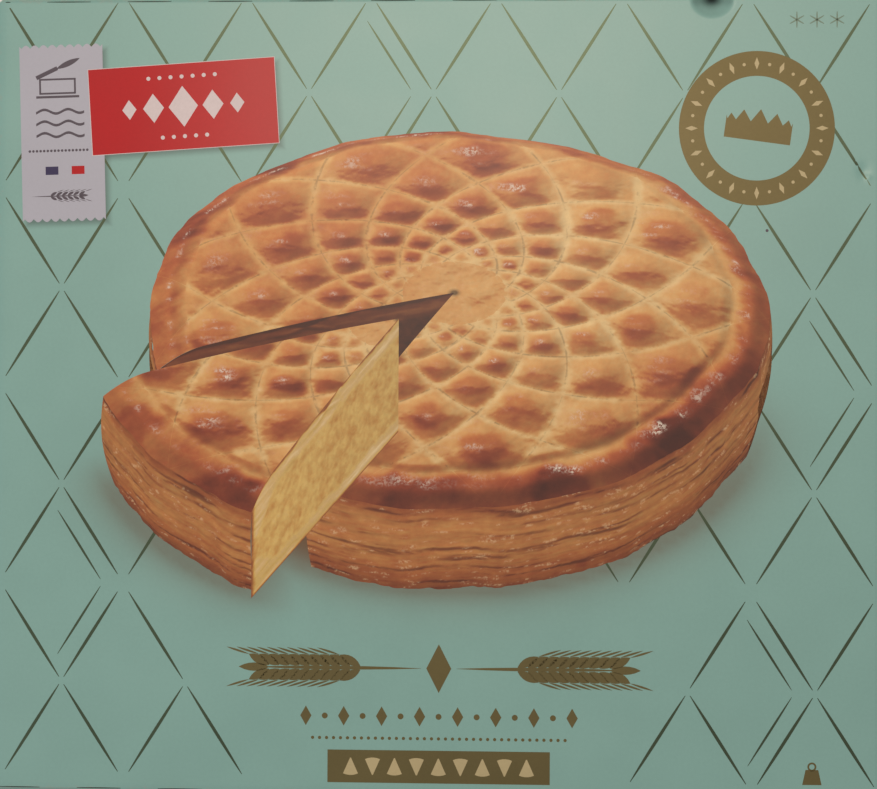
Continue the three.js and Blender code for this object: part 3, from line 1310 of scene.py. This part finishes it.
def pastry_wall(start, end, columns, shift, lift):
    """Film of the flaky side between two angles, from the base up to the underside of the shoulder."""
    sizes = pastry()
    rise = np.linspace(0, 1, 64)
    angle = np.linspace(start, end, columns)
    rise, angle = np.meshgrid(rise, angle, indexing="ij")
    ragged = 1.6 * MM * (clouds(angle * 22, 0 * angle, 51, 3) - 0.5)
    height = rise * (sizes.wall - sizes.shoulder) + ragged * (1 - rise)
    bulge = 1 - 0.035 * (1 - rise) ** 2 + 0.012 * np.sin(np.pi * rise)
    out = rim_radius(angle) * bulge
    x, y = pastry_place(out * np.cos(angle), out * np.sin(angle), height, shift)
    return film(on_sheet, x, y, lift, marks={"tone": paint_wall(angle, height)})


def pastry_cut(angle, shift, lift, shaded):
    """Film of a cut side: from the middle out to the rim and from the base up to the top.

    Browning stands for the layers: crust at the foot and the top, pale leaves under it and filling between.
    """
    part, rise = np.meshgrid(np.linspace(0.0005, 1.0, 130), np.linspace(0, 1, 60), indexing="ij")
    out = part * rim_radius(np.array(angle))
    top = smooth_top(part)
    height = rise * top
    x, y = pastry_place(out * np.cos(angle), out * np.sin(angle), height, shift)
    wobble = 4.4 * MM * (patches(out, 0 * out, 13, 13, 61) - 0.5)
    depth = top - height + wobble
    closing = 9 * MM * ease(part, 0.82, 0.97)
    crumb = patches(out, height, 3.2, 3.2, 67)
    leaves = patches(out, height + wobble, 26, 1.5, 71, 3)
    grain = patches(out, height, 1.3, 1.3, 73, 2)
    loose = 2.0 * MM * (crumb - 0.5)
    filling = ease(depth + loose, 6 * MM + closing, 8.5 * MM + closing)
    filling = filling * ease(height + wobble + loose, 4.5 * MM + closing, 7 * MM + closing)
    crust = np.maximum(ease(1.6 * MM - depth, 0, 1.4 * MM), ease(1.6 * MM - height, 0, 1.6 * MM))
    crust = np.maximum(crust, ease(part, 0.965, 1.0))
    yellow = 0.42 + 0.26 * (0.5 - crumb) + 0.12 * (0.5 - grain)
    pale = 0.22 + 0.60 * (0.5 - leaves)
    layer = filling * yellow + (1 - filling) * pale
    layer = layer * (1 - crust) + crust * (0.78 + 0.3 * (leaves - 0.5)) + 0.8 * (1 - shaded)
    rough = 0.18 * (crumb - 0.5) + 0.10 * (grain - 0.5)
    light = 0.98 + rough * filling + 0.34 * (leaves - 0.5) * (1 - filling)
    light = (light - 0.14 * (1 - part)) * (shaded + (1 - shaded) * 0.3 * ease(rise, 0.8, 1.0))
    return film(on_sheet, x, y, lift, marks={"tone": np.stack([layer, light, 0 * light], axis=-1)})


def pastry_shadow(x, y):
    """Painted shadow of the pastry on the mint: a soft rim about its base, deepest in the open cut.

    Away from the base the rim fades as an exponential, and it shows only below and beside the pastry.
    """
    sizes = pastry()
    across = (x - sizes.centre_x) / sizes.radius
    away = (y - sizes.centre_y) / (sizes.radius * np.sin(sizes.tilt))
    out = np.hypot(across, away)
    soft = 0.62 * np.exp(-np.clip(out - 1, 0, None) / 0.075) * ease(-away, -0.25, 0.5)

    shift = slice_shift()
    moved_x = across - shift[0] / sizes.radius
    moved_y = away - shift[1] / sizes.radius
    middle = (sizes.slice_from + sizes.slice_to) / 2
    turn = np.mod(np.arctan2(moved_y, moved_x), 2 * np.pi)
    past = np.clip(np.hypot(moved_x, moved_y) - 1, 0, None)
    wedge = ease(0.62 - np.abs(turn - middle), 0, 0.3) * np.exp(-past / 0.07)

    turn = np.mod(np.arctan2(away, across), 2 * np.pi)
    inside = ease(turn, sizes.slice_from, sizes.slice_from + 0.05)
    inside = inside * ease(sizes.slice_to + 0.10 - turn, 0, 0.05)
    cut = inside * (1 - ease(out, 0.86, 1.16))
    return np.maximum(np.maximum(soft, 0.6 * wedge), cut)


def baked_ink(name, browns, glint_colour, scored=False):
    """Print of baked pastry: browning through a row of colours, times the painted light, plus some glints.

    A scored crust has a pale band and a thin shadow where a ray number is whole.
    """
    material, nodes, shader = new_material(name, {"Metallic": 0.0, "Specular IOR Level": 0.5})
    place = nodes.object_place()
    brown, light, glint = nodes.mark("tone")
    patch = nodes.noise(place, 260.0, 4.0, 0.6)
    speck = nodes.noise(place, 1100.0, 3.0, 0.65)
    loose = nodes.plus(nodes.math("MULTIPLY", patch, 0.26), speck, 0.16)
    tone = nodes.math("ADD", brown, nodes.math("SUBTRACT", loose, 0.21))
    if scored:
        first, second, spacing = nodes.mark("score")
        near = [nodes.math("PINGPONG", number, 0.5) for number in (first, second)]
        gap = nodes.math("MULTIPLY", nodes.math("MINIMUM", *near), spacing)
        wander = nodes.math("SUBTRACT", nodes.noise(place, 130.0, 2.0), 0.5)
        ragged = nodes.plus(gap, wander, 1.8)
        band = nodes.span(ragged, 0.3, 2.9, 1.0, 0.0)
        tone = nodes.plus(tone, band, -0.14)
        cut = nodes.math("MULTIPLY", nodes.span(ragged, 0.05, 0.6, 1.0, 0.0), nodes.span(patch, 0.42, 0.60))
        light = nodes.plus(light, cut, -0.34)
    shade = nodes.ramp(tone, browns)
    lit = nodes.scaled(shade, nodes.plus(light, nodes.math("SUBTRACT", speck, 0.5), 0.22))
    broken = nodes.math("MULTIPLY", glint, nodes.span(speck, 0.40, 0.62), clamp=True)
    shone = nodes.mix(broken, lit, display(*glint_colour))
    mottled(nodes, shader, place, shone, 0.02, 0.46, 0.1)
    return material


class CARTON_OT_pastry(bpy.types.Operator):
    """The pictured round pastry with one slice drawn out"""

    bl_idname = "carton.pastry"
    bl_label = "Pictured pastry"

    def execute(self, context):
        start = pastry().slice_from
        end = pastry().slice_to
        full = 2 * np.pi
        still = (0.0, 0.0, 0.0)
        moved = slice_shift()
        crust = baked_ink("Baked top", CRUST_BROWNS, GLAZE_GLINT, scored=True)
        flaky = baked_ink("Flaky side", FLAKY_BROWNS, FLAKE_GLINT)
        crumb = baked_ink("Cut filling", CUT_BROWNS, GLAZE_GLINT)
        far_side = pastry_wall(np.pi - 0.06, start, 24, still, Lift.PASTRY_SIDE)
        near_side = pastry_wall(end, full + 0.06, 330, still, Lift.PASTRY_SIDE)
        add_piece("pastry_side", [far_side, near_side], [flaky])
        add_piece("pastry_cut", [pastry_cut(start, still, Lift.PASTRY_CUT, 0.42)], [flaky])
        thirds = np.linspace(end, start + full, 4)
        for number in range(3):
            patch = pastry_top(thirds[number], thirds[number + 1], 240, still, Lift.PASTRY_TOP)
            add_piece(f"pastry_top_{number + 1}", [patch], [crust])
        add_piece("slice_side", [pastry_wall(start, end, 140, moved, Lift.SLICE_SIDE)], [flaky])
        add_piece("slice_cut", [pastry_cut(end, moved, Lift.SLICE_CUT, 1.0)], [crumb])
        add_piece("slice_top", [pastry_top(start, end, 90, moved, Lift.SLICE_TOP)], [crust])
        return {"FINISHED"}


# Badge, labels and ornaments


class Label:
    """A printed rectangle: its centre and half sizes, given in millimetres, and its angle in degrees."""

    def __init__(self, centre, half, angle):
        self.centre = np.array(centre) * MM
        self.half = np.array(half) * MM
        self.angle = np.radians(angle)

    def lay(self, x, y, lift, ink_number=0, wrap=False):
        """Film of a flat shape given in the label's own axes."""
        return film(on_sheet, *placed(x, y, self.centre, self.angle), lift, ink_number, wrap)


RED_LABEL = Label((-85.5, 97.8), (31.9, 14.6), 3.8)
STAMP_LABEL = Label((-126.9, 88.8), (14.3, 29.8), 1.7)
BADGE = Label((108.2, 90.0), (26.0, 26.0), 0.0)
GOLD_BAR = Label((2.4, -125.1), (37.4, 5.5), 0.0)


def ring(inner, outer, steps=96):
    """A flat ring about the origin, radius by angle, with its last column left for the first to meet."""
    angle = np.linspace(0, 2 * np.pi, steps, endpoint=False)
    radius, angle = np.meshgrid(np.linspace(inner, outer, 4), angle, indexing="ij")
    return radius * np.cos(angle), radius * np.sin(angle)


def crown(width, low, high):
    """A flat crown on the X axis: points evenly round a hoop, so they crowd at its sides and rise amid it.

    Every other place is a point, as tall as the squared cosine of its turn says, and the rest are notches.
    """
    turn = np.radians(np.arange(-90, 91, 15))
    tip = np.arange(len(turn)) % 2 == 0
    height = np.where(tip, low + (high - low) * np.cos(turn) ** 2, 0.84 * low)
    across = np.sin(turn) * width / 2
    return np.stack([across, across], axis=-1), np.stack([0 * height, height], axis=-1)


class CARTON_OT_badge(bpy.types.Operator):
    """The gold ring with its pale marks, and the crown inside it"""

    bl_idname = "carton.badge"
    bl_label = "Ring badge"

    def execute(self, context):
        inner = 17.6 * MM
        outer = BADGE.half[0]
        ground = BADGE.lay(*disc(inner + MM, 25), Lift.BADGE_GROUND)
        add_piece("badge_ground", [ground], [ink("mint", roughness=0.42, amount=0.035)])
        hoop = BADGE.lay(*ring(inner, outer), Lift.BADGE, wrap=True)
        points = placed(*crown(22.3 * MM, 7.5 * MM, 10.8 * MM), (0.0, -4.3 * MM), np.radians(-7.8))
        add_piece("gold_badge", [hoop, BADGE.lay(*points, Lift.BADGE)], [gold_ink()])

        angle = np.radians(np.arange(0, 360, 11.25))
        spots = (inner + outer) / 2 * np.stack([np.cos(angle), np.sin(angle)], axis=-1)
        tall = np.arange(len(angle)) % 2 == 0
        grains = copies(*lozenge(0.8 * MM, 2.1 * MM), spots[tall], angle[tall] - np.pi / 2)
        dots = copies(*disc(0.55 * MM), spots[~tall])
        marks = [BADGE.lay(*shape, Lift.BADGE_MARK) for shape in (grains, dots)]
        add_piece("badge_marks", marks, [ink("cream")])
        return {"FINISHED"}


class CARTON_OT_labels(bpy.types.Operator):
    """The slanted red label and the upright pinked label with their pictograms"""

    bl_idname = "carton.labels"
    bl_label = "Labels"

    def execute(self, context):
        self.red_label()
        self.stamp_label()
        self.stamp_marks()
        return {"FINISHED"}

    def red_label(self):
        """A red field with a thin pale edge and a chain of pale lozenges between two rows of dots."""
        half_x, half_y = RED_LABEL.half
        edge = 0.2 * MM
        paper = RED_LABEL.lay(*rectangle(half_x + edge, half_y + edge, 24, 12), Lift.RED_EDGE)
        field = RED_LABEL.lay(*rectangle(half_x, half_y, 24, 12), Lift.RED, 1)
        add_piece("red_label", [paper, field], [ink("pale"), red_print()])
        marks = []
        for place, size in ((-18.5, 3.4), (-10.2, 5.0), (0.0, 7.0), (10.2, 5.0), (18.5, 3.4)):
            x, y = lozenge(0.72 * size * MM, size * MM)
            marks.append((x + place * MM, y))
        for count, level in ((7, 10.2), (5, -10.2)):
            marks.append(copies(*disc(0.7 * MM), row(count, 3.8, level)))
        films = [RED_LABEL.lay(*shape, Lift.RED_MARK) for shape in marks]
        add_piece("red_label_marks", films, [ink("pale")])

    def stamp_label(self):
        """Pale stock whose ends are pinked: scallops that die out over the label's last rows."""
        half_x, half_y = STAMP_LABEL.half
        part = np.linspace(-1, 1, 115)[:, None]
        level = np.linspace(-1, 1, 22)[None]
        teeth = 1.1 * MM * (np.abs(np.cos(np.pi * 4.75 * part)) - 0.6)
        stock = STAMP_LABEL.lay(part * half_x + 0 * level, level * half_y + teeth * level**15, Lift.STAMP)
        add_piece("stamp_label", [stock], [ink("stock", amount=0.03)])

    def stamp_marks(self):
        """Butter and a knife, layers, a dotted line, two blocks and an ear of wheat."""
        marks = [bar(-1.4, level, 6.0, 0.32) for level in (13.6, 18.4)]
        marks += [bar(place, 16.0, 0.32, 2.7) for place in (-7.4, 4.6)]
        marks += [bar(-1.4, 12.4, 7.4, 0.4), bar(-5.0, 20.6, 4.0, 0.7, np.radians(24))]
        marks.append(needles(np.array([-1.6, 22.0]) * MM, np.array([6.4, 25.4]) * MM, 1.9 * MM))
        run = np.linspace(-9.0, 7.6, 25)[:, None] * MM
        edges = np.array([[-0.45, 0.45]]) * MM
        wave = 0.7 * MM * np.sin(run / (1.3 * MM))
        marks += [(run + 0 * edges, level * MM + wave + edges) for level in (7.4, 3.4, -0.6)]
        marks.append(copies(*disc(0.45 * MM), row(17, 1.2375, -6.0) - (1.5 * MM, 0.0)))
        marks.append(placed(*wheat_ear(18.0 * MM, 6), (-11.0 * MM, -21.5 * MM)))
        dark = [STAMP_LABEL.lay(*shape, Lift.STAMP_MARK) for shape in marks]
        add_piece("stamp_pictograms", dark, [ink("dark")])
        blocks = [bar(place, -12.8, 2.2, 1.4) for place in (-3.9, 5.1)]
        films = [STAMP_LABEL.lay(*shape, Lift.STAMP_MARK, number) for number, shape in enumerate(blocks)]
        add_piece("stamp_blocks", films, [ink("blue"), ink("red", amount=0.05, specular=0.3)])


class CARTON_OT_ornaments(bpy.types.Operator):
    """The gold garland, rows and bar at the foot of the face, and the small marks in its corners"""

    bl_idname = "carton.ornaments"
    bl_label = "Ornaments"

    def execute(self, context):
        add_piece("gold_ornaments", self.garland(), [gold_ink()])
        add_piece("corner_marks", self.corner_marks(), [ink("faint"), gold_ink()])
        add_piece("bar_marks", self.wedges(), [ink("cream")])
        speck = film(on_sheet, *placed(*disc(0.5 * MM), (111.7 * MM, 55.6 * MM)), Lift.CORNER_MARK)
        add_piece("print_speck", [speck], [ink("dark")])
        return {"FINISHED"}

    def garland(self):
        """Two ears of wheat about a lozenge, a row of lozenges and dots, a row of dots, and the bar."""
        ear_x, ear_y = wheat_ear(57.0 * MM, 10)
        height = 33.1 * MM
        shapes = [(side * (ear_x + 6.0 * MM), ear_y + height) for side in (-1, 1)]
        shapes.append(placed(*lozenge(4.2 * MM, 8.2 * MM), (0.0, height)))
        beads = row(15, 6.4, 16.9)
        shapes.append(copies(*lozenge(1.9 * MM, 3.3 * MM), beads[::2]))
        shapes.append(copies(*disc(1.0 * MM), beads[1::2]))
        shapes.append(copies(*disc(0.55 * MM), row(37, 2.36, 9.5)))
        shapes.append(rectangle(*GOLD_BAR.half, 20, 4))
        return [GOLD_BAR.lay(*shape, Lift.GOLD) for shape in shapes]

    def wedges(self):
        """Nine cut wedges along the bar, point up and point down by turns."""
        part, turn = np.meshgrid(np.linspace(0.06, 1, 3), np.linspace(-0.42, 0.42, 6), indexing="ij")
        radius = 6.2 * MM
        x = part * np.sin(turn) * radius
        y = (part * np.cos(turn) - 0.52) * radius
        places = enumerate(row(9, 7.4, 0.0)[:, 0])
        return [GOLD_BAR.lay(x + place, y * (-1) ** (number + 1), Lift.BAR_MARK) for number, place in places]

    def corner_marks(self):
        """Three small snow stars at the top right and a small weight at the bottom right."""
        shapes = [spokes((place, 126.5), 2.7, 3, 30, 0.5, 0.5) for place in (121.5, 128.2, 134.9)]
        marks = [film(on_sheet, *shape, Lift.CORNER_MARK) for shape in shapes]
        level = np.linspace(0, 1, 5)
        half = (3.2 - 1.1 * level) * MM
        body = np.stack([-half, half], axis=-1), np.stack([level, level], axis=-1) * 5.0 * MM
        handle = placed(*ring(0.9 * MM, 1.5 * MM, 24), (0.0, 6.0 * MM))
        foot = (127.0 * MM, -129.4 * MM)
        marks.append(film(on_sheet, *placed(*body, foot), Lift.CORNER_MARK, 1))
        marks.append(film(on_sheet, *placed(*handle, foot), Lift.CORNER_MARK, 1, wrap=True))
        return marks


class CARTON_OT_back_print(bpy.types.Operator):
    """The print on the back: a pale panel with an empty table, three pictograms and a gold bar"""

    bl_idname = "carton.back_print"
    bl_label = "Back print"

    def execute(self, context):
        add_piece("back_panel", [self.panel()], [ink("stock", amount=0.03)])
        add_piece("back_pictograms", self.pictograms(), [ink("dark")])
        gold = placed(*rectangle(52 * MM, 5 * MM, 8, 3), (-62 * MM, -60 * MM))
        add_piece("back_bar", [film(on_back, *gold, Lift.BACK_MARK)], [gold_ink()])
        return {"FINISHED"}

    def panel(self):
        """A rectangle with quarter circles for corners: each column reaches as far as the circle lets it."""
        half_x, half_y, corner = 118 * MM, 92 * MM, 10 * MM
        part = np.concatenate([-1 + 0.085 * np.linspace(0, 1, 9) ** 2, np.linspace(-0.9, 0.9, 19)])
        part = np.unique(np.concatenate([part, -part]))
        past = np.clip((np.abs(part) * half_x - half_x + corner) / corner, 0, 1)
        reach = half_y - corner * (1 - np.sqrt(1 - past**2))
        level = np.linspace(-1, 1, 9)
        return film(on_back, part[:, None] * half_x + 0 * level, reach[:, None] * level, Lift.BACK_PANEL)

    def pictograms(self):
        """A ruled table, an oven with four knobs, a snow star, and a round cut in eight."""
        shapes = [bar(48, -70 + 12 * level, 52, 0.3) for level in range(8)]
        shapes += [bar(place, -28, 0.3, 42.3) for place in (-4, 56, 100)]
        shapes += [bar(-76, level, 22, 0.8) for level in (20, 62)]
        shapes += [bar(place, 41, 0.8, 21) for place in (-98, -54)]
        shapes.append(bar(-76, 54, 20, 0.5))
        shapes += [placed(*disc(1.8 * MM), (place * MM, 58 * MM)) for place in (-90, -81, -71, -62)]
        shapes.append(spokes((-10, 41), 20, 3, 30, 2.4, 0.5))
        shapes.append(spokes((56, 41), 17, 4, 22.5, 1.3, 0.6))
        hoop = placed(*ring(19.2 * MM, 21 * MM), (56 * MM, 41 * MM))
        marks = [film(on_back, *shape, Lift.BACK_MARK) for shape in shapes]
        return [*marks, film(on_back, *hoop, Lift.BACK_MARK, wrap=True)]


# The stage


# Half the width of the floor, and the light of the two lamps: one warm, one cool
FLOOR_REACH = 2.5
KEY_TINT = (1.0, 0.84, 0.68)
FILL_TINT = (0.87, 0.97, 1.0)


class CARTON_OT_stage(bpy.types.Operator):
    """A pale floor, soft lamps and the camera above the face"""

    bl_idname = "carton.stage"
    bl_label = "Stage"

    def execute(self, context):
        scene = context.scene
        sizes = scene.carton_studio
        self.add_floor(scene)
        self.add_lamp(scene, "key_lamp", (0.0, 0.33, 0.95), (0.4, 0.3), sizes.key_power, KEY_TINT)
        self.add_lamp(scene, "fill_lamp", (-0.95, -0.45, 0.85), (1.1, 1.1), sizes.fill_power, FILL_TINT)
        self.add_sky(scene, sizes.sky)
        self.add_camera(scene, sizes)
        return {"FINISHED"}

    def add_floor(self, scene):
        """A square of pale floor with a faint grain."""
        corners = FLOOR_REACH * np.array([(-1, -1, 0), (1, -1, 0), (1, 1, 0), (-1, 1, 0)])
        mesh = bpy.data.meshes.new("floor")
        mesh.from_pydata(corners, [], [(0, 1, 2, 3)])
        material, nodes, shader = new_material("Pale floor", {"Roughness": 0.9})
        grain = nodes.noise(nodes.object_place(), 6.0, 2.0)
        tone = nodes.mix(grain, display(226, 225, 222), display(234, 233, 230))
        nodes.put(shader.inputs["Base Color"], tone)
        mesh.materials.append(material)
        floor = bpy.data.objects.new("floor", mesh)
        scene.collection.objects.link(floor)

    def add_lamp(self, scene, name, place, size, power, tint):
        """A rectangular lamp that faces the middle of the carton."""
        light = bpy.data.lights.new(name, "AREA")
        light.shape = "RECTANGLE"
        light.size, light.size_y = size
        light.energy = power
        light.color = tint
        lamp = bpy.data.objects.new(name, light)
        lamp.location = place
        lamp.rotation_euler = (Vector((0, 0, DEPTH)) - Vector(place)).to_track_quat("-Z", "Y").to_euler()
        scene.collection.objects.link(lamp)

    def add_sky(self, scene, strength):
        """Even light from all round, shown with no film look."""
        world = bpy.data.worlds.new("Soft sky")
        world.use_nodes = True
        background = world.node_tree.nodes["Background"]
        background.inputs["Color"].default_value = display(244, 246, 250)
        background.inputs["Strength"].default_value = strength
        scene.world = world
        scene.view_settings.view_transform = "Standard"

    def add_camera(self, scene, sizes):
        """A sharp camera above the face, whose lens takes in its part of the face's width."""
        lens = bpy.data.cameras.new("camera")
        lens.sensor_width = 36.0
        lens.lens = lens.sensor_width * sizes.eye / (2 * HALF_X * VIEW_WIDTH_OVER_FACE)
        lens.dof.use_dof = False
        camera = bpy.data.objects.new("camera", lens)
        camera.location = (sizes.eye_x, sizes.eye_y, DEPTH + sizes.eye_z)
        camera.rotation_euler = sizes.turn
        scene.collection.objects.link(camera)
        scene.camera = camera


OPERATORS = (
    CARTON_OT_stage,
    CARTON_OT_face,
    CARTON_OT_walls,
    CARTON_OT_back,
    CARTON_OT_lattice,
    CARTON_OT_fold_cuts,
    CARTON_OT_pastry,
    CARTON_OT_badge,
    CARTON_OT_labels,
    CARTON_OT_ornaments,
    CARTON_OT_back_print,
)

SETTINGS = {
    "carton_board": BoardSizes,
    "carton_lattice": LatticeSizes,
    "carton_pastry": PastrySizes,
    "carton_inks": InkColours,
    "carton_studio": StudioSizes,
}


class CARTON_PT_panel(bpy.types.Panel):
    """Lists the carton's pieces in the order they are made"""

    bl_idname = "CARTON_PT_panel"
    bl_label = "Pastry carton"
    bl_space_type = "VIEW_3D"
    bl_region_type = "UI"
    bl_category = "Carton"

    def draw(self, context):
        for operator in OPERATORS:
            self.layout.operator(operator.bl_idname)
        for setting, group in SETTINGS.items():
            box = self.layout.box()
            box.label(text=group.__doc__)
            for name in group.__annotations__:
                box.prop(getattr(context.scene, setting), name)


def register():
    """Registers every class and hangs the settings on the scene."""
    for group in (*SETTINGS.values(), *OPERATORS, CARTON_PT_panel):
        bpy.utils.register_class(group)
    for setting, group in SETTINGS.items():
        setattr(bpy.types.Scene, setting, PointerProperty(type=group))


def unregister():
    """Takes the settings off the scene and unregisters every class."""
    for setting in SETTINGS:
        delattr(bpy.types.Scene, setting)
    for group in (CARTON_PT_panel, *reversed(OPERATORS), *SETTINGS.values()):
        bpy.utils.unregister_class(group)


def main():
    """Makes the stage and every piece."""
    register()
    for operator in OPERATORS:
        space, name = operator.bl_idname.split(".")
        getattr(getattr(bpy.ops, space), name)()


if __name__ == "__main__":
    main()
